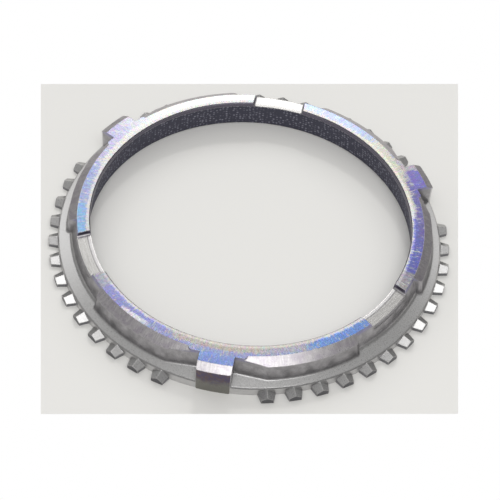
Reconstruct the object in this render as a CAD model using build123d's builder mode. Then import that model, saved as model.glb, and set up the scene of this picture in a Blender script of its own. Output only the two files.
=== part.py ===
from build123d import *
from math import atan2, cos, degrees, hypot, radians, sin, tan
import os

os.makedirs("parts", exist_ok=True)

# A gearbox synchronizer ring lying on its large face, small end up.
# Millimetres and degrees. The ring's axis is the vertical axis through the origin,
# and the large face lies at height zero.

# Whole ring
ring_height = 10.2
lug_count = 3
first_lug_angle = -90

# Friction cone in the bore, which opens towards the large face
cone_small_radius = 48.5
cone_half_angle = 6.5
lining_thickness = 0.7
lining_foot_gap = 0.3
lip_height = 1.6
lip_crown_width = 1.0
lip_crown_drop = 0.08
lip_bevel_width = 0.3
lip_bevel_drop = 0.3
bore_foot_chamfer = 0.3

# Rim and thin wall
rim_width = 3.85
wall_draft = 16.4
wall_foot_fillet = 1.7

# Thick pads on both sides of each lug
pad_bevel_width = 2.65
pad_bevel_drop = 1.7
pad_draft = 9
pad_end_angle = 44
pad_end_slant = 25
pad_end_corner = 1.5
pad_foot_fillet = 0.45

# Flat faces beside the lugs, and the web that joins each lug to the rim
lug_flat_reach = 0.45
web_width = 16.8
web_corner = 1.2

# Lugs
lug_width = 10
lug_proud = 0.2
lug_bevel_width = 2.4
lug_bevel_drop = 1.3
lug_corner_radius = 0.6

# Flange that carries the teeth
ledge_width = 2.5
flange_edge_height = 2.9
flange_slope = 15
flange_chamfer = 0.35

# Dog teeth with roof-shaped tops, left out at the lugs
tooth_places = 48
teeth_per_group = 13
tooth_depth = 2.8
tooth_root_width = 5.1
tooth_tip_width = 3.55
tooth_flank_height = 1.2
tooth_roof_angle = 30

# Recesses across the rim, midway between the lugs
recess_width = 16.4
recess_depth = 1.3
recess_end_run = 0.25
recess_floor_fillet = 0.65
burr_drop = 0.5
burr_width = 0.2
burr_height = 0.8

# How far pieces of the ring reach into each other, so that they join as one solid,
# and how far the ends of the wall's foot curve sink under the faces that they run into
overlap = 0.6
foot_sink = 0.06

# Sizes that follow from the ones above
lug_pitch = 360 / lug_count
first_recess_angle = first_lug_angle + lug_pitch / 2
rim_outer_radius = cone_small_radius + rim_width
pad_bevel_radius = rim_outer_radius + pad_bevel_width
pad_bevel_height = ring_height - pad_bevel_drop
pad_foot_radius = pad_bevel_radius + (pad_bevel_height - flange_edge_height) * tan(radians(pad_draft))
flange_radius = pad_foot_radius + ledge_width
lug_radius = flange_radius + lug_proud
lining_top = ring_height - lip_height
lip_crown_height = ring_height - lip_crown_drop
inside_wall_radius = rim_outer_radius - rim_width / 2
tooth_pitch = 360 / tooth_places
tooth_tip_radius = flange_radius + tooth_depth


def cone_radius(height):
    """Radius of the friction cone at a height."""
    return cone_small_radius + (ring_height - height) * tan(radians(cone_half_angle))


def seat_radius(height):
    """Radius of the steel cone that the lining is bonded to."""
    return cone_radius(height) + lining_thickness


def flange_height(radius):
    """Height of the gently sloping top of the flange."""
    return flange_edge_height + (flange_radius - radius) * tan(radians(flange_slope))


def foot_radius(top_radius, top_height, draft):
    """Radius at which a drafted wall meets the sloping top of the flange."""
    lean = tan(radians(draft))
    slope = tan(radians(flange_slope))
    return (top_radius + (top_height - flange_height(0)) * lean) / (1 - slope * lean)


def wall_radius(height):
    """Radius of the drafted outer face of the thin wall."""
    return rim_outer_radius + (ring_height - height) * tan(radians(wall_draft))


def pad_radius(height):
    """Radius of the drafted outer wall of the pads."""
    return pad_bevel_radius + (pad_bevel_height - height) * tan(radians(pad_draft))


wall_foot_radius = foot_radius(rim_outer_radius, ring_height, wall_draft)
wall_foot_height = flange_height(wall_foot_radius)


def pad_end_point(radius):
    """Point of the slanted pad end at a radius, in plan, with the lug along the first axis."""
    along = (cos(radians(pad_end_angle)), sin(radians(pad_end_angle)))
    shift = (radius - wall_foot_radius) * tan(radians(pad_end_slant))
    return (radius * along[0] + shift * along[1], radius * along[1] - shift * along[0])


def is_pad_end(edge):
    """Whether an edge is an upright corner of a pad's outer wall, at the end far from the lug."""
    start = edge @ 0
    heights = sorted([start.Z, (edge @ 1).Z])
    upright = heights[0] < pad_bevel_height / 2 < heights[1]
    outside = hypot(start.X, start.Y) > rim_outer_radius
    turn = degrees(atan2(start.Y, start.X)) - first_lug_angle
    from_lug = abs((turn + lug_pitch / 2) % lug_pitch - lug_pitch / 2)
    return upright and outside and from_lug > pad_end_angle / 2


def is_pad_foot(edge):
    """Whether an edge of the flange's top runs along the foot of a pad."""
    middle = edge @ 0.5
    return wall_foot_radius + lug_flat_reach < hypot(middle.X, middle.Y) < pad_foot_radius


# Turned blank: thin drafted wall on a flange with a sloping top, still solid inside
with BuildPart() as blank:
    with BuildSketch(Plane.XZ) as blank_profile:
        with BuildLine():
            Polyline(
                (0, 0),
                (flange_radius, 0),
                (flange_radius, flange_edge_height - flange_chamfer),
                (flange_radius - flange_chamfer, flange_height(flange_radius - flange_chamfer)),
                (wall_foot_radius, wall_foot_height),
                (rim_outer_radius, ring_height),
                (0, ring_height),
                close=True,
            )
        make_face()
    revolve(axis=Axis.Z)

# Bore: the stepped cone that takes the lining, with a crowned and bevelled lip above it
with BuildPart() as bore:
    with BuildSketch(Plane.XZ) as bore_profile:
        with BuildLine():
            Polyline(
                (0, 0),
                (seat_radius(0) + bore_foot_chamfer, 0),
                (seat_radius(bore_foot_chamfer), bore_foot_chamfer),
                (seat_radius(lining_top), lining_top),
                (cone_small_radius, lining_top),
                (cone_small_radius, lip_crown_height - lip_bevel_drop),
                (cone_small_radius + lip_bevel_width, lip_crown_height),
                (cone_small_radius + lip_bevel_width + lip_crown_width, ring_height),
                (0, ring_height),
                close=True,
            )
        make_face()
    revolve(axis=Axis.Z)

# Pads: a bevelled thick wall, cut in plan to the flat beside the lug and to slanted, rounded ends
pad_base_height = flange_edge_height / 2
lug_flat_radius = rim_outer_radius + lug_flat_reach
end_outer = pad_end_point(flange_radius)
end_inner = pad_end_point(inside_wall_radius)
with BuildPart() as pads:
    with BuildSketch(Plane.XZ) as pad_profile:
        with BuildLine():
            Polyline(
                (inside_wall_radius, pad_base_height),
                (pad_radius(pad_base_height), pad_base_height),
                (pad_bevel_radius, pad_bevel_height),
                (rim_outer_radius, ring_height),
                (inside_wall_radius, ring_height),
                close=True,
            )
        make_face()
    revolve(axis=Axis.Z)
    with BuildSketch(Plane.XY.offset(ring_height)) as pad_plan:
        with PolarLocations(0, lug_count, start_angle=first_lug_angle):
            Polygon(
                (lug_flat_radius, -end_outer[1]),
                (lug_flat_radius, end_outer[1]),
                end_outer,
                end_inner,
                (end_inner[0], -end_inner[1]),
                (end_outer[0], -end_outer[1]),
                align=None,
            )
    extrude(amount=pad_base_height - ring_height, taper=-pad_draft, mode=Mode.INTERSECT)
    fillet(pads.edges().filter_by(is_pad_end), radius=pad_end_corner)

# Wall foot: the wide concave curve between the thin wall and the flange, which ends inside the pads
foot_outer = wall_foot_radius + ledge_width
foot_upper = wall_foot_height + ledge_width
foot_wedge_half = flange_radius * tan(radians((lug_pitch - pad_end_angle) / 2))
with BuildPart() as wall_foot:
    with BuildSketch(Plane.XZ) as wall_foot_profile:
        with BuildLine():
            hollow = FilletPolyline(
                (foot_outer, flange_height(foot_outer) - foot_sink),
                (wall_foot_radius, wall_foot_height),
                (wall_radius(foot_upper) - foot_sink, foot_upper),
                radius=wall_foot_fillet,
            )
            Polyline(
                hollow @ 1,
                (inside_wall_radius, foot_upper),
                (inside_wall_radius, pad_base_height),
                (foot_outer, pad_base_height),
                hollow @ 0,
            )
        make_face()
    revolve(axis=Axis.Z)
    with BuildSketch() as foot_wedge:
        Polygon((0, 0), (flange_radius, -foot_wedge_half), (flange_radius, foot_wedge_half), align=None)
    extrude(amount=ring_height, mode=Mode.INTERSECT)

# Webs: the full-height blocks that join each lug to the rim, with rounded corners
web_reach = 2 * (lug_flat_radius - inside_wall_radius)
with BuildPart() as webs:
    with BuildSketch(Plane.XY.offset(ring_height)) as web_plan:
        with PolarLocations(inside_wall_radius, lug_count, start_angle=first_lug_angle):
            RectangleRounded(web_reach, web_width, web_corner)
    extrude(amount=pad_base_height - ring_height, taper=-pad_draft)

# Lugs: parallel-sided blocks that reach from the wall to just past the flange, bevelled in front
lug_bevel_radius = lug_radius - lug_bevel_width
lug_mid_radius = (inside_wall_radius + lug_radius) / 2
with BuildPart() as lugs:
    with BuildSketch(Plane.XZ) as lug_profile:
        with BuildLine():
            Polyline(
                (inside_wall_radius, 0),
                (lug_radius, 0),
                (lug_radius, ring_height - lug_bevel_drop),
                (lug_bevel_radius, ring_height),
                (inside_wall_radius, ring_height),
                close=True,
            )
        make_face()
    revolve(axis=Axis.Z)
    with BuildSketch() as lug_plan:
        with PolarLocations(lug_mid_radius, lug_count, start_angle=first_lug_angle):
            Rectangle(lug_radius - inside_wall_radius + overlap, lug_width)
    extrude(amount=ring_height, mode=Mode.INTERSECT)
    upright_edges = lugs.edges().filter_by(Axis.Z).sort_by_distance((0, 0, 0))
    fillet(upright_edges[-2 * lug_count:], radius=lug_corner_radius)

# One dog tooth, lofted from root to tip and trimmed to the tip circle
def tooth_section(radius):
    """Corner points of the roof-topped section that a tooth has at a radius."""
    narrowing = (tooth_root_width - tooth_tip_width) / tooth_depth
    half_width = (tooth_root_width - (radius - flange_radius) * narrowing) / 2
    ridge_height = tooth_flank_height + half_width * tan(radians(tooth_roof_angle))
    return (
        (-half_width, 0),
        (half_width, 0),
        (half_width, tooth_flank_height),
        (0, ridge_height),
        (-half_width, tooth_flank_height),
    )


with BuildPart() as tooth:
    for section_radius in (flange_radius - overlap, tooth_tip_radius + overlap):
        with BuildSketch(Plane(origin=(section_radius, 0, 0), x_dir=(0, 1, 0), z_dir=(1, 0, 0))):
            Polygon(*tooth_section(section_radius), align=None)
    loft(ruled=True)
    with BuildSketch() as tip_circle:
        Circle(tooth_tip_radius)
    extrude(amount=ring_height, mode=Mode.INTERSECT)

# Recess cutter: a flat-floored slot with steep ends and rounded floor corners, run out radially
recess_floor = ring_height - recess_depth
recess_floor_width = recess_width - 2 * recess_end_run
with BuildPart() as recess:
    with BuildSketch(Plane(origin=(inside_wall_radius - rim_width, 0, 0), x_dir=(0, 1, 0), z_dir=(1, 0, 0))):
        with BuildLine():
            FilletPolyline(
                (-recess_width / 2, ring_height),
                (-recess_floor_width / 2, recess_floor),
                (recess_floor_width / 2, recess_floor),
                (recess_width / 2, ring_height),
                radius=recess_floor_fillet,
            )
            Polyline(
                (recess_width / 2, ring_height),
                (recess_width / 2, ring_height + overlap),
                (-recess_width / 2, ring_height + overlap),
                (-recess_width / 2, ring_height),
            )
        make_face()
    extrude(amount=2 * rim_width)

# Crown cutter: the floor of a recess falls towards the bore as the rim does
recess_end_angle = atan2(recess_depth, recess_end_run)
recess_flat_width = recess_floor_width - 2 * recess_floor_fillet * tan(recess_end_angle / 2)
crown_reach = lip_crown_width + overlap
with BuildPart() as recess_crown:
    with BuildSketch(Plane.XZ) as crown_profile:
        with BuildLine():
            Polyline(
                (cone_small_radius + lip_crown_width, recess_floor),
                (cone_small_radius - overlap, recess_floor),
                (cone_small_radius - overlap, recess_floor - crown_reach * lip_crown_drop / lip_crown_width),
                close=True,
            )
        make_face()
    revolve(axis=Axis.Z)
    with BuildSketch() as crown_plan:
        with Locations((cone_small_radius, 0)):
            Rectangle(2 * rim_width, recess_flat_width)
    extrude(amount=ring_height, mode=Mode.INTERSECT)

# Burr: the low ridge that is left outside each recess, just under its floor
burr_top = recess_floor - burr_drop
burr_foot = burr_top - burr_height
with BuildPart() as burr:
    with BuildSketch(Plane.XZ) as burr_profile:
        with BuildLine():
            Polyline(
                (inside_wall_radius, burr_foot),
                (wall_radius(burr_foot), burr_foot),
                (wall_radius(burr_top) + burr_width, burr_top - burr_width),
                (wall_radius(burr_top), burr_top),
                (inside_wall_radius, burr_top),
                close=True,
            )
        make_face()
    revolve(axis=Axis.Z)
    with BuildSketch() as burr_plan:
        with Locations((rim_outer_radius, 0)):
            Rectangle(2 * rim_width, recess_flat_width)
    extrude(amount=ring_height, mode=Mode.INTERSECT)

# The ring in one piece
tooth_span = (teeth_per_group - 1) * tooth_pitch
with BuildPart() as ring_body:
    add(blank.part)
    add(pads.part)
    add(webs.part)
    flange_top = ring_body.faces().filter_by(GeomType.CONE).sort_by(SortBy.AREA)[-1]
    fillet(flange_top.edges().filter_by(is_pad_foot), radius=pad_foot_fillet)
    with PolarLocations(0, lug_count, start_angle=first_recess_angle):
        add(wall_foot.part)
    with PolarLocations(0, lug_count, start_angle=first_recess_angle):
        with PolarLocations(0, teeth_per_group, -tooth_span / 2, tooth_span, endpoint=True):
            add(tooth.part)
    add(lugs.part)
    with PolarLocations(0, lug_count, start_angle=first_recess_angle):
        add(burr.part)
    with PolarLocations(0, lug_count, start_angle=first_recess_angle):
        add(recess.part, mode=Mode.SUBTRACT)
        add(recess_crown.part, mode=Mode.SUBTRACT)
    add(bore.part, mode=Mode.SUBTRACT)

ring_body.part.label = "ring_body"
export_step(ring_body.part, "parts/ring_body.step")

# Friction lining bonded into the cone
with BuildPart() as friction_lining:
    with BuildSketch(Plane.XZ) as lining_profile:
        with BuildLine():
            Polyline(
                (cone_radius(lining_foot_gap), lining_foot_gap),
                (seat_radius(lining_foot_gap), lining_foot_gap),
                (seat_radius(lining_top), lining_top),
                (cone_radius(lining_top), lining_top),
                close=True,
            )
        make_face()
    revolve(axis=Axis.Z)

friction_lining.part.label = "friction_lining"
export_step(friction_lining.part, "parts/friction_lining.step")
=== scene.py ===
import bpy
import math
from mathutils import Matrix, Vector

# Looks, light and camera for a gearbox synchronizer ring lying on its large face.
# The solid parts come from the frame, in metres, with the ring's axis upright.

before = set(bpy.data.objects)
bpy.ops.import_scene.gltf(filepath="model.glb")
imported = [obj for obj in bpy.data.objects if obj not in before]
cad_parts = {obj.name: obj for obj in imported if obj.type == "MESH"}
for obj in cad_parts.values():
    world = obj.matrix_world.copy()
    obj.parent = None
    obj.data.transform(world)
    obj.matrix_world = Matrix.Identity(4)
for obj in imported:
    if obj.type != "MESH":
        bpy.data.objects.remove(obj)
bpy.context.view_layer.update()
print("frame loaded:", ", ".join(sorted(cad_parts)))

scene = bpy.context.scene


# Small helpers for building node trees

def addNode(tree, kind, **settings):
    node = tree.nodes.new(kind)
    for name, value in settings.items():
        setattr(node, name, value)
    return node


def feed(tree, socket, value):  # value is a number, a colour or another node's output
    if isinstance(value, bpy.types.NodeSocket):
        tree.links.new(value, socket)
    else:
        socket.default_value = value


def calc(tree, operation, *values, clamp=False):
    node = addNode(tree, "ShaderNodeMath", operation=operation, use_clamp=clamp)
    for socket, value in zip(node.inputs, values):
        feed(tree, socket, value)
    return node.outputs[0]


def product(tree, first, *others):
    result = first
    for value in others:
        result = calc(tree, "MULTIPLY", result, value)
    return result


def fade(tree, value, low, high, start=0.0, end=1.0):  # smooth step from start to end
    node = addNode(tree, "ShaderNodeMapRange", interpolation_type="SMOOTHSTEP")
    for socket, given in zip(node.inputs, (value, low, high, start, end)):
        feed(tree, socket, given)
    return node.outputs[0]


def between(tree, value, low, high, soft):  # one from low to high, with soft ends outside them
    return product(tree, fade(tree, value, low - soft, low), fade(tree, value, high, high + soft, 1.0, 0.0))


def ramp(tree, value, stops):  # stops are (position, colour)
    node = addNode(tree, "ShaderNodeValToRGB")
    elements = node.color_ramp.elements
    while len(elements) < len(stops):
        elements.new(0.5)
    for element, (position, color) in zip(elements, stops):
        element.position = position
        element.color = (*color, 1.0)
    feed(tree, node.inputs["Fac"], value)
    return node.outputs["Color"]


def joinAxes(tree, x, y, z):
    node = addNode(tree, "ShaderNodeCombineXYZ")
    for socket, value in zip(node.inputs, (x, y, z)):
        feed(tree, socket, value)
    return node.outputs[0]


def stretched(tree, vector, stretch):
    node = addNode(tree, "ShaderNodeVectorMath", operation="MULTIPLY")
    feed(tree, node.inputs[0], vector)
    feed(tree, node.inputs[1], stretch)
    return node.outputs[0]


def blendColor(tree, factor, first, second, mode="MIX"):  # colours are inputs 6 and 7 and output 2
    node = addNode(tree, "ShaderNodeMix", data_type="RGBA", blend_type=mode)
    feed(tree, node.inputs["Factor"], factor)
    feed(tree, node.inputs[6], first)
    feed(tree, node.inputs[7], second)
    return node.outputs[2]


def paint(tree, factor, color, plain, mode="MIX"):  # a plain colour laid over another where factor is one
    return blendColor(tree, factor, color, (*plain, 1.0), mode)


def toneColor(tree, plain, tone):  # a plain colour made darker or lighter by a value
    return blendColor(tree, 1.0, (*plain, 1.0), joinAxes(tree, tone, tone, tone), "MULTIPLY")


def noiseNode(tree, vector, scale, detail, roughness):
    node = addNode(tree, "ShaderNodeTexNoise")
    for name, value in (("Vector", vector), ("Scale", scale), ("Detail", detail), ("Roughness", roughness)):
        feed(tree, node.inputs[name], value)
    return node


def noise(tree, vector, scale, detail, roughness):
    return noiseNode(tree, vector, scale, detail, roughness).outputs["Fac"]


def newGroup(name, inputs, outputs):
    group = bpy.data.node_groups.new(name, "ShaderNodeTree")
    for label, kind, value in inputs:
        socket = group.interface.new_socket(name=label, in_out="INPUT", socket_type=kind)
        if value is not None:
            socket.default_value = value
    for label, kind in outputs:
        group.interface.new_socket(name=label, in_out="OUTPUT", socket_type=kind)
    return group, addNode(group, "NodeGroupInput").outputs, addNode(group, "NodeGroupOutput").inputs


def useGroup(tree, group, **values):
    node = addNode(tree, "ShaderNodeGroup", node_tree=group)
    for name, value in values.items():
        feed(tree, node.inputs[name], value)
    return node.outputs


def newMaterial(name):
    material = bpy.data.materials.new(name)
    material.use_nodes = True
    tree = material.node_tree
    return material, tree, tree.nodes["Principled BSDF"]


def addBump(tree, shader, height, strength, depth):
    bump = addNode(tree, "ShaderNodeBump")
    bump.inputs["Strength"].default_value = strength
    bump.inputs["Distance"].default_value = depth
    feed(tree, bump.inputs["Height"], height)
    feed(tree, shader.inputs["Normal"], bump.outputs["Normal"])
    return bump


def dress(node, material):
    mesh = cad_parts[node].data
    mesh.materials.clear()
    mesh.materials.append(material)


# Node groups: a point's place on the ring, fine marks drawn out one way, and the state of corners

floatSocket = "NodeSocketFloat"
vectorSocket = "NodeSocketVector"


def makeRingPlace():
    # millimetres from the axis and the ground, and degrees round the ring: fromFirst is counted from
    # the first lug, and fromLug from the nearest one. Unrolled has degrees, radius and height.
    inputs = [("lugCount", floatSocket, 3.0), ("firstLug", floatSocket, -90.0)]
    numbers = ["radius", "angle", "fromFirst", "fromLug", "height", "upward", "outward"]
    outputs = [(name, floatSocket) for name in numbers] + [("unrolled", vectorSocket)]
    tree, given, result = newGroup("ringPlace", inputs, outputs)
    axes = addNode(tree, "ShaderNodeSeparateXYZ")
    feed(tree, axes.inputs[0], addNode(tree, "ShaderNodeTexCoord").outputs["Object"])
    x = calc(tree, "MULTIPLY", axes.outputs[0], 1000.0)
    y = calc(tree, "MULTIPLY", axes.outputs[1], 1000.0)
    height = calc(tree, "MULTIPLY", axes.outputs[2], 1000.0)
    radius = calc(tree, "SQRT", calc(tree, "ADD", product(tree, x, x), product(tree, y, y)))
    angle = calc(tree, "DEGREES", calc(tree, "ARCTAN2", y, x))
    fromFirst = calc(tree, "SUBTRACT", angle, given["firstLug"])
    pitch = calc(tree, "DIVIDE", 360.0, given["lugCount"])
    half = calc(tree, "DIVIDE", pitch, 2.0)
    turned = calc(tree, "FLOORED_MODULO", calc(tree, "ADD", fromFirst, half), pitch)
    facing = addNode(tree, "ShaderNodeSeparateXYZ")
    feed(tree, facing.inputs[0], addNode(tree, "ShaderNodeTexCoord").outputs["Normal"])
    outX = calc(tree, "MULTIPLY", facing.outputs[0], x)
    outY = calc(tree, "MULTIPLY", facing.outputs[1], y)
    feed(tree, result["radius"], radius)
    feed(tree, result["angle"], angle)
    feed(tree, result["fromFirst"], calc(tree, "WRAP", fromFirst, 180.0, -180.0))
    feed(tree, result["fromLug"], calc(tree, "SUBTRACT", turned, half))
    feed(tree, result["height"], height)
    feed(tree, result["upward"], facing.outputs[2])
    feed(tree, result["outward"], calc(tree, "DIVIDE", calc(tree, "ADD", outX, outY), radius))
    feed(tree, result["unrolled"], joinAxes(tree, angle, radius, height))
    return tree


def makeStreaks():
    inputs = [
        ("place", vectorSocket, None),
        ("stretch", vectorSocket, (1, 1, 1)),
        ("contrast", floatSocket, 1.0),
    ]
    tree, given, result = newGroup("streaks", inputs, [("tone", floatSocket), ("height", floatSocket)])
    fine = noise(tree, stretched(tree, given["place"], given["stretch"]), 1.0, 5.0, 0.7)
    centred = calc(tree, "MULTIPLY", calc(tree, "SUBTRACT", fine, 0.5), given["contrast"])
    feed(tree, result["tone"], calc(tree, "ADD", centred, 0.5, clamp=True))
    feed(tree, result["height"], fine)
    return tree


def makeEdgeMarks():
    # worn outer corners, partly real wear and partly painted highlight; painted shade in sheltered
    # inner corners; and the surface's direction with its corners rounded; both widths are in metres
    inputs = [("cornerWidth", floatSocket, 0.0003), ("shelterWidth", floatSocket, 0.002)]
    outputs = [("wornAndHighlighted", floatSocket), ("shadedCorners", floatSocket), ("rounded", vectorSocket)]
    tree, given, result = newGroup("edgeMarks", inputs, outputs)
    rounded = addNode(tree, "ShaderNodeBevel", samples=4)
    feed(tree, rounded.inputs["Radius"], given["cornerWidth"])
    turned = addNode(tree, "ShaderNodeVectorMath", operation="DOT_PRODUCT")
    feed(tree, turned.inputs[0], rounded.outputs["Normal"])
    feed(tree, turned.inputs[1], addNode(tree, "ShaderNodeNewGeometry").outputs["Normal"])
    openness = addNode(tree, "ShaderNodeAmbientOcclusion", samples=4, only_local=True)
    feed(tree, openness.inputs["Distance"], given["shelterWidth"])
    corner = fade(tree, turned.outputs["Value"], 0.82, 0.985, 1.0, 0.0)
    feed(tree, result["wornAndHighlighted"], product(tree, corner, fade(tree, openness.outputs["AO"], 0.7, 0.95)))
    feed(tree, result["shadedCorners"], fade(tree, openness.outputs["AO"], 0.35, 0.9, 1.0, 0.0))
    feed(tree, result["rounded"], rounded.outputs["Normal"])
    return tree


ringPlace = makeRingPlace()
streaks = makeStreaks()
edgeMarks = makeEdgeMarks()
print("node groups built")


# Steel of the ring: machined, with heat tint on its small end

ringSteel = {
    # colours by face
    "plain": (0.50, 0.49, 0.475),
    "wall": (0.395, 0.385, 0.40),
    "bevel": (0.50, 0.48, 0.49),
    "stain": (0.34, 0.30, 0.36),
    "flange": (0.475, 0.47, 0.465),
    # painted highlight on the flange's upright rim
    "rimHighlight": (0.64, 0.635, 0.64),
    "teeth": (0.25, 0.25, 0.265),
    # painted shade on the teeth's outward end faces
    "toothTipShade": (0.15, 0.15, 0.16),
    # painted shade on the bore's lip
    "lip": (0.15, 0.14, 0.18),
    # soot on the lugs' fronts, and painted shade on the recess ends
    "sootAndShade": (0.12, 0.10, 0.18),
    "rust": (0.17, 0.12, 0.13),
    "olive": (0.27, 0.265, 0.24),
    "violet": (0.25, 0.24, 0.50),
    # painted shade laid over the crown next to the bore on the near side
    "crownShade": (0.63, 0.63, 0.65),
    # painted shade in inner corners
    "cornerShade": (0.12, 0.115, 0.12),
    # outer corners, partly real wear and partly painted highlight
    "wearAndHighlight": (0.80, 0.79, 0.77),
    # how much of a colour is laid on
    "violetShare": 0.6,
    "lugSootShare": 0.85,
    # share of the painted shade on the recess ends
    "recessEndShadeShare": 0.8,
    "cornerShadeShare": 0.35,
    "wearAndHighlightShare": 0.75,
    "pearlShare": 0.4,
    # heights and radii of the faces in millimetres, and spans in degrees
    "topHeight": 10.2,
    "recessFloor": 8.9,
    "bevelFoot": 8.4,
    "violetReach": 1.6,
    "flangeTop": 4.8,
    "boreRadius": 48.5,
    "lipBevel": 0.3,
    "crownWidth": 1.0,
    "rimRadius": 52.4,
    "flangeRadius": 58.4,
    "lugHalfSpan": 5.4,
    "crownShadeFade": (55.0, 150.0),
    # surface, with the bump's depth in metres
    "roughness": 0.3,
    "groundSmoother": 0.08,
    "bumpStrength": 0.25,
    "bumpDepth": 0.00004,
    # heat tint: middle and half span in degrees from the first lug, soft ends in degrees,
    # inner radius in millimetres, strength and colour; a later patch lies over an earlier one
    "heatPatches": {
        "backLeft": (-150.0, 20.0, 18.0, 49.4, 0.25, (0.44, 0.50, 0.50)),
        "leftLug": (-118.0, 8.0, 9.0, 51.0, 0.60, (0.40, 0.39, 0.49)),
        "leftLilac": (-100.0, 14.0, 14.0, 50.6, 0.80, (0.35, 0.35, 0.50)),
        "leftBlue": (-86.0, 10.0, 12.0, 49.6, 0.80, (0.26, 0.31, 0.51)),
        "leftEnd": (-75.0, 4.0, 7.0, 49.8, 0.90, (0.23, 0.40, 0.61)),
        "frontStraw": (2.0, 26.0, 12.0, 48.0, 0.80, (0.43, 0.40, 0.36)),
        "frontLeftViolet": (-33.0, 9.0, 16.0, 49.3, 1.00, (0.28, 0.29, 0.55)),
        "frontLeftBare": (-29.0, 3.0, 5.0, 51.0, 1.00, (0.70, 0.68, 0.71)),
        "frontRim": (2.0, 22.0, 12.0, 51.2, 1.00, (0.33, 0.36, 0.56)),
        "frontLug": (0.0, 6.0, 3.0, 52.6, 0.85, (0.23, 0.32, 0.64)),
        "frontRightPale": (24.0, 6.0, 9.0, 49.8, 0.70, (0.39, 0.40, 0.55)),
        "frontRightBlue": (40.0, 6.0, 10.0, 49.5, 1.00, (0.19, 0.31, 0.66)),
        "rightStraw": (128.0, 14.0, 12.0, 48.0, 0.70, (0.46, 0.45, 0.38)),
        "rightIndigo": (88.0, 8.0, 12.0, 49.0, 1.00, (0.15, 0.16, 0.42)),
        "rightViolet": (106.0, 10.0, 10.0, 50.4, 1.00, (0.17, 0.16, 0.35)),
        "rightLugDull": (126.0, 4.0, 8.0, 51.6, 0.80, (0.34, 0.31, 0.38)),
        "rightLug": (118.0, 4.0, 2.5, 52.3, 0.95, (0.18, 0.16, 0.42)),
        "backRight": (157.0, 9.0, 14.0, 49.6, 0.95, (0.34, 0.39, 0.54)),
        "rightEnd": (73.0, 2.0, 3.0, 48.0, 0.85, (0.32, 0.31, 0.33)),
        "frontLeftEnd": (-48.0, 2.0, 3.0, 48.0, 0.70, (0.38, 0.37, 0.38)),
    },
}


def makeFaceMasks(tree, spot, settings):  # which of the ring's faces a point lies on
    height = spot["height"]
    radius = spot["radius"]
    topHeight = settings["topHeight"]
    floor = settings["recessFloor"]
    bevelFoot = settings["bevelFoot"]
    flangeTop = settings["flangeTop"]
    flangeRadius = settings["flangeRadius"]
    lipEdge = settings["boreRadius"] + settings["lipBevel"]
    flat = fade(tree, spot["upward"], 0.93, 0.99)
    sloping = fade(tree, spot["upward"], 0.45, 0.7)
    upright = calc(tree, "SUBTRACT", 1.0, sloping)
    outside = fade(tree, radius, settings["rimRadius"] - 1.0, settings["rimRadius"])
    inside = calc(tree, "SUBTRACT", 1.0, outside)
    nearTop = fade(tree, height, topHeight - settings["violetReach"], topHeight - 0.3)
    high = fade(tree, height, bevelFoot - 0.4, bevelFoot + 0.2)
    low = fade(tree, height, flangeTop, flangeTop + 0.8, 1.0, 0.0)
    beyondFlange = fade(tree, radius, flangeRadius + 0.03, flangeRadius + 0.08)
    halfSpan = settings["lugHalfSpan"]
    lugSpan = fade(tree, calc(tree, "ABSOLUTE", spot["fromLug"]), halfSpan, halfSpan + 0.5, 1.0, 0.0)
    top = product(tree, fade(tree, height, topHeight - 0.16, topHeight - 0.1), flat)
    recess = product(tree, between(tree, height, floor - 0.12, floor + 0.1, 0.1), flat)
    ground = calc(tree, "MAXIMUM", top, recess)
    crown = between(tree, radius, lipEdge + 0.05, lipEdge + settings["crownWidth"], 0.12)
    aside = calc(tree, "ABSOLUTE", spot["fromFirst"])
    return {
        "top": top,
        "recess": recess,
        "ground": ground,
        "lip": fade(tree, radius, lipEdge, lipEdge + 0.1, 1.0, 0.0),
        "teeth": beyondFlange,
        "upperWall": product(tree, nearTop, outside),
        "flangeRimHighlight": product(tree, between(tree, radius, flangeRadius - 0.5, flangeRadius, 0.05), upright),
        "flangeTop": product(tree, sloping, low),
        "bevel": product(tree, sloping, product(tree, high, outside)),
        "lugFront": product(tree, lugSpan, beyondFlange, upright),
        "recessEnd": product(tree, upright, inside, fade(tree, height, floor - 0.05, floor + 0.05)),
        "nearCrownShade": product(tree, crown, ground, fade(tree, aside, *settings["crownShadeFade"], 1.0, 0.0)),
    }


def makeHeatTint(tree, spot, radial, settings):
    # each patch follows the rim and breaks up in ragged radial streaks towards the bore and its ends
    cloud = fade(tree, noise(tree, spot["unrolled"], 0.5, 5.0, 0.65), 0.32, 0.68, 0.0, 0.7)
    ragged = calc(tree, "ADD", calc(tree, "ADD", fade(tree, radial["tone"], 0.1, 0.9), cloud), 0.2)
    color = (*settings["plain"], 1.0)
    for middle, halfSpan, soft, inner, strength, tint in settings["heatPatches"].values():
        aside = calc(tree, "ABSOLUTE", calc(tree, "SUBTRACT", spot["fromFirst"], middle))
        span = fade(tree, aside, halfSpan, halfSpan + soft, 1.0, 0.0)
        cover = product(tree, span, fade(tree, spot["radius"], inner - 1.0, inner + 1.2), ragged)
        color = paint(tree, fade(tree, cover, 0.2, 0.85, 0.0, strength), color, tint)
    # faint pearly colours over it, which leave the mean brightness as it is
    pearl = noiseNode(tree, stretched(tree, spot["unrolled"], (1.3, 0.7, 0.7)), 1.0, 3.0, 0.6)
    pearly = blendColor(tree, settings["pearlShare"], (0.5, 0.5, 0.5, 1.0), pearl.outputs["Color"])
    doubled = blendColor(tree, 1.0, pearly, (2.0, 2.0, 2.0, 1.0), "MULTIPLY")
    return blendColor(tree, 1.0, color, doubled, "MULTIPLY")


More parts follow.
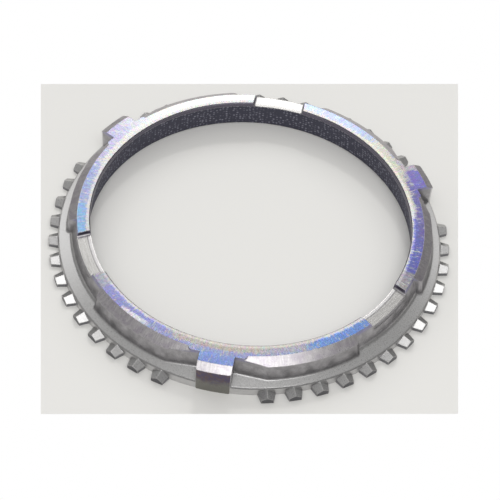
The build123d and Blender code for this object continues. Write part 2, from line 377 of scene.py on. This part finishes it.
def makeRingSteel(settings):
    material, tree, shader = newMaterial("heatTintedSteel")
    spot = useGroup(tree, ringPlace)
    marks = useGroup(tree, edgeMarks)
    unrolled = spot["unrolled"]
    radial = useGroup(tree, streaks, place=unrolled, stretch=(2.6, 0.35, 0.35), contrast=1.0)
    coarse = useGroup(tree, streaks, place=unrolled, stretch=(1.2, 0.3, 0.3), contrast=2.6)
    ringwise = useGroup(tree, streaks, place=unrolled, stretch=(0.3, 5.0, 5.0), contrast=1.0)
    speckle = noise(tree, unrolled, 3.2, 4.0, 0.75)
    blotch = noise(tree, unrolled, 0.5, 4.0, 0.6)
    smudge = noise(tree, unrolled, 1.1, 3.0, 0.6)
    grain = fade(tree, speckle, 0.3, 0.75, 0.88, 1.1)
    face = makeFaceMasks(tree, spot, settings)

    # walls and teeth with painted shade on their end faces, and a painted highlight on the flange's rim
    color = toneColor(tree, settings["wall"], fade(tree, blotch, 0.3, 0.7, 0.82, 1.15))
    toothEndShade = fade(tree, spot["outward"], 0.6, 0.9)
    tooth = paint(tree, toothEndShade, (*settings["teeth"], 1.0), settings["toothTipShade"])
    color = blendColor(tree, face["teeth"], color, tooth)
    # painted highlight: the flange's upright rim is painted lighter than the flange
    color = paint(tree, face["flangeRimHighlight"], color, settings["rimHighlight"])
    violetCast = product(tree, face["upperWall"], settings["violetShare"])
    color = paint(tree, violetCast, color, settings["violet"])

    # soot and rust on the lugs' fronts over an olive foot, painted shade on the recess ends and on the lip
    burnt = paint(tree, fade(tree, smudge, 0.42, 0.6), (*settings["sootAndShade"], 1.0), settings["rust"])
    ragged = calc(tree, "ADD", spot["height"], product(tree, blotch, 6.0))
    sooty = blendColor(tree, fade(tree, ragged, 5.8, 9.4), (*settings["olive"], 1.0), burnt)
    color = blendColor(tree, product(tree, face["lugFront"], settings["lugSootShare"]), color, sooty)
    recessEndShade = product(tree, face["recessEnd"], settings["recessEndShadeShare"])
    color = paint(tree, recessEndShade, color, settings["sootAndShade"])
    # painted shade on the bore's lip
    color = paint(tree, face["lip"], color, settings["lip"])

    # flange, bevels and the recess floors
    color = blendColor(tree, face["flangeTop"], color, toneColor(tree, settings["flange"], grain))
    brushed = toneColor(tree, settings["bevel"], fade(tree, radial["tone"], 0.3, 0.7, 0.8, 1.12))
    brushed = paint(tree, fade(tree, blotch, 0.42, 0.66, 0.0, 0.5), brushed, settings["stain"])
    color = blendColor(tree, face["bevel"], color, brushed)
    scuffed = toneColor(tree, settings["plain"], fade(tree, ringwise["tone"], 0.3, 0.7, 0.86, 1.1))
    color = blendColor(tree, face["recess"], color, scuffed)

    # small end, with its tint and a fine grain; the crown next to the bore gets painted shade on the near
    # side
    tint = makeHeatTint(tree, spot, coarse, settings)
    grainy = blendColor(tree, 1.0, tint, joinAxes(tree, grain, grain, grain), "MULTIPLY")
    color = blendColor(tree, face["top"], color, grainy)
    color = paint(tree, face["nearCrownShade"], color, settings["crownShade"], "MULTIPLY")

    # painted shade in inner corners; bright outer corners, partly real wear and partly painted highlight
    cornerShading = product(tree, marks["shadedCorners"], settings["cornerShadeShare"])
    wornAndHighlighted = product(tree, marks["wornAndHighlighted"], settings["wearAndHighlightShare"])
    color = paint(tree, cornerShading, color, settings["cornerShade"])
    color = paint(tree, wornAndHighlighted, color, settings["wearAndHighlight"])
    feed(tree, shader.inputs["Base Color"], color)
    shader.inputs["Metallic"].default_value = 1.0
    uneven = fade(tree, speckle, 0.2, 0.8, settings["roughness"] - 0.06, settings["roughness"] + 0.08)
    smoothed = product(tree, face["ground"], settings["groundSmoother"])
    feed(tree, shader.inputs["Roughness"], calc(tree, "SUBTRACT", uneven, smoothed))
    relief = calc(tree, "ADD", radial["height"], speckle)
    bump = addBump(tree, shader, relief, settings["bumpStrength"], settings["bumpDepth"])
    feed(tree, bump.inputs["Normal"], marks["rounded"])
    return material


dress("ring_body", makeRingSteel(ringSteel))
print("ring steel done")


# Friction lining bonded in the cone: dark, with light specks in loose rows
# (pitches and radius in millimetres, the bump's depth in metres)

lining = {
    "ground": (0.058, 0.058, 0.088),
    "speck": (0.36, 0.36, 0.44),
    "rowPitch": 1.0,
    "speckPitch": 1.1,
    "speckScatter": 0.45,
    "middleRadius": 49.0,
    "roughness": 0.75,
    "bumpStrength": 0.5,
    "bumpDepth": 0.0001,
}


def makeLining(settings):
    material, tree, shader = newMaterial("wovenFrictionLining")
    spot = useGroup(tree, ringPlace)
    specksPerDegree = math.radians(settings["middleRadius"]) / settings["speckPitch"]
    place = calc(tree, "MULTIPLY", spot["angle"], specksPerDegree)
    row = calc(tree, "DIVIDE", spot["height"], settings["rowPitch"])
    cell = addNode(tree, "ShaderNodeTexVoronoi", feature="F1")
    cell.inputs["Randomness"].default_value = settings["speckScatter"]
    cell.inputs["Scale"].default_value = 1.0
    feed(tree, cell.inputs["Vector"], joinAxes(tree, place, row, 0.0))
    speck = fade(tree, cell.outputs["Distance"], 0.06, 0.46, 1.0, 0.0)
    shade = noise(tree, spot["unrolled"], 1.6, 4.0, 0.7)
    speck = product(tree, speck, fade(tree, shade, 0.3, 0.56, 0.2, 1.0))
    feed(tree, shader.inputs["Base Color"], paint(tree, speck, (*settings["ground"], 1.0), settings["speck"]))
    shader.inputs["Roughness"].default_value = settings["roughness"]
    relief = calc(tree, "ADD", speck, shade)
    addBump(tree, shader, relief, settings["bumpStrength"], settings["bumpDepth"])
    return material


dress("friction_lining", makeLining(lining))
print("lining done")


# Camera at the photograph's place

cameraView = {
    "location": (0.0325, -0.2716, 0.3179),
    "forward": (-0.0757, 0.6404, -0.7643),
    "right": (0.9821, 0.1805, 0.0540),
    "lens": 98.2,
    "sensor": 36.0,
    "nearest": 0.01,
    "farthest": 20.0,
}


def makeCamera(settings):
    data = bpy.data.cameras.new("photoCamera")
    data.lens = settings["lens"]
    data.sensor_width = settings["sensor"]
    data.clip_start = settings["nearest"]
    data.clip_end = settings["farthest"]
    camera = bpy.data.objects.new("photoCamera", data)
    scene.collection.objects.link(camera)
    forward = Vector(settings["forward"]).normalized()
    right = Vector(settings["right"])
    right = (right - forward * right.dot(forward)).normalized()
    up = right.cross(forward)
    turn = Matrix((right, up, -forward)).transposed().to_4x4()
    camera.matrix_world = Matrix.Translation(settings["location"]) @ turn
    scene.camera = camera


makeCamera(cameraView)
print("camera placed")


# Floor, studio light and surroundings

studio = {
    "floorColor": (0.88, 0.87, 0.84),
    "floorSize": 3.0,
    "floorHeight": -0.0004,
    "sheetColor": (0.88, 0.87, 0.84),
    "sheetCorners": [(-0.0444, -0.0760), (0.0687, -0.0510), (0.0574, 0.0843), (-0.0807, 0.0505)],
    "roughness": 0.9,
    "gloss": 0.1,
}

# brightness of the room by the direction's height, and a bright band of wall on the far side
room = {
    "levels": [(0.00, 0.30), (0.36, 0.33), (0.60, 0.42), (0.80, 0.54), (1.00, 0.64)],
    "rightShade": 0.12,
    "bandLevel": 1.25,
    "bandMiddle": -10.0,
    "bandCosine": (0.47, 0.66),
    "bandFoot": (0.35, 0.52),
    "bandTop": (0.65, 0.79),
    "bandTilt": 0.07,
}

# place as compass angle from the far side towards the right, and height angle, both in degrees;
# distance and size in metres
lampDistance = 1.2
lamps = {
    "backSoftbox": {"compass": -8.0, "climb": 46.0, "size": (0.25, 0.37), "power": 0.50},
    "shadowLamp": {"compass": -5.0, "climb": 48.0, "size": (0.10, 0.10), "power": 1.1, "mirrored": False},
    "keySoftbox": {"compass": 162.0, "climb": 65.0, "size": (0.80, 0.80), "power": 3.8},
}


def makeSlab(name, corners, height, color, whiteToTheEye, settings):
    mesh = bpy.data.meshes.new(name)
    mesh.from_pydata([(x, y, height) for x, y in corners], [], [tuple(range(len(corners)))])
    slab = bpy.data.objects.new(name, mesh)
    scene.collection.objects.link(slab)
    material, tree, shader = newMaterial(name + "Finish")
    shader.inputs["Base Color"].default_value = (*color, 1.0)
    shader.inputs["Roughness"].default_value = settings["roughness"]
    shader.inputs["Specular IOR Level"].default_value = settings["gloss"]
    if whiteToTheEye:  # plain white for the camera, an ordinary pale floor for the light
        output = tree.nodes["Material Output"]
        glow = addNode(tree, "ShaderNodeEmission")
        chooser = addNode(tree, "ShaderNodeMixShader")
        feed(tree, chooser.inputs[0], addNode(tree, "ShaderNodeLightPath").outputs["Is Camera Ray"])
        tree.links.new(shader.outputs[0], chooser.inputs[1])
        tree.links.new(glow.outputs[0], chooser.inputs[2])
        tree.links.new(chooser.outputs[0], output.inputs["Surface"])
    mesh.materials.append(material)


def makeFloor(settings):
    half = settings["floorSize"] / 2
    square = [(-half, -half), (half, -half), (half, half), (-half, half)]
    makeSlab("floor", square, settings["floorHeight"], settings["floorColor"], True, settings)
    makeSlab("sheet", settings["sheetCorners"], 0.0, settings["sheetColor"], False, settings)


def makeLamp(name, settings):
    data = bpy.data.lights.new(name, "AREA")
    data.shape = "ELLIPSE"
    data.size, data.size_y = settings["size"]
    data.energy = settings["power"]
    lamp = bpy.data.objects.new(name, data)
    lamp.visible_glossy = settings.get("mirrored", True)
    scene.collection.objects.link(lamp)
    compass = math.radians(settings["compass"])
    climb = math.radians(settings["climb"])
    level = math.cos(climb)
    aim = Vector((math.sin(compass) * level, math.cos(compass) * level, math.sin(climb)))
    lamp.location = aim * lampDistance
    lamp.rotation_euler = aim.to_track_quat("Z", "Y").to_euler()


def makeRoom(settings):
    world = bpy.data.worlds.new("studio")
    scene.world = world
    world.use_nodes = True
    tree = world.node_tree
    background = tree.nodes["Background"]
    axes = addNode(tree, "ShaderNodeSeparateXYZ")
    feed(tree, axes.inputs[0], addNode(tree, "ShaderNodeTexCoord").outputs["Generated"])
    x, y, z = axes.outputs
    level = addNode(tree, "ShaderNodeSeparateColor")
    stops = [(place, (value,) * 3) for place, value in settings["levels"]]
    feed(tree, level.inputs[0], ramp(tree, z, stops))
    # the band is a stretch of wall by compass angle, cut off below and, slightly tilted, above
    middle = math.radians(settings["bandMiddle"])
    east = calc(tree, "MULTIPLY", x, math.sin(middle))
    north = calc(tree, "MULTIPLY", y, math.cos(middle))
    flatLength = calc(tree, "SQRT", calc(tree, "SUBTRACT", 1.0001, product(tree, z, z)))
    facing = calc(tree, "DIVIDE", calc(tree, "ADD", east, north), flatLength)
    tilted = calc(tree, "ADD", z, calc(tree, "MULTIPLY", x, settings["bandTilt"]))
    band = product(
        tree,
        fade(tree, facing, *settings["bandCosine"]),
        fade(tree, z, *settings["bandFoot"]),
        fade(tree, tilted, *settings["bandTop"], 1.0, 0.0),
        settings["bandLevel"],
    )
    shade = calc(tree, "SUBTRACT", 1.0, calc(tree, "MULTIPLY", x, settings["rightShade"]))
    light = product(tree, calc(tree, "ADD", level.outputs[0], band), shade)
    # the camera sees plain white
    seen = addNode(tree, "ShaderNodeLightPath").outputs["Is Camera Ray"]
    lit = product(tree, light, calc(tree, "SUBTRACT", 1.0, seen))
    feed(tree, background.inputs["Strength"], calc(tree, "ADD", lit, seen))
    background.inputs["Color"].default_value = (1.0, 1.0, 1.0, 1.0)


makeFloor(studio)
for name, settings in lamps.items():
    makeLamp(name, settings)
makeRoom(room)
scene.view_settings.view_transform = "Standard"
print("studio ready")
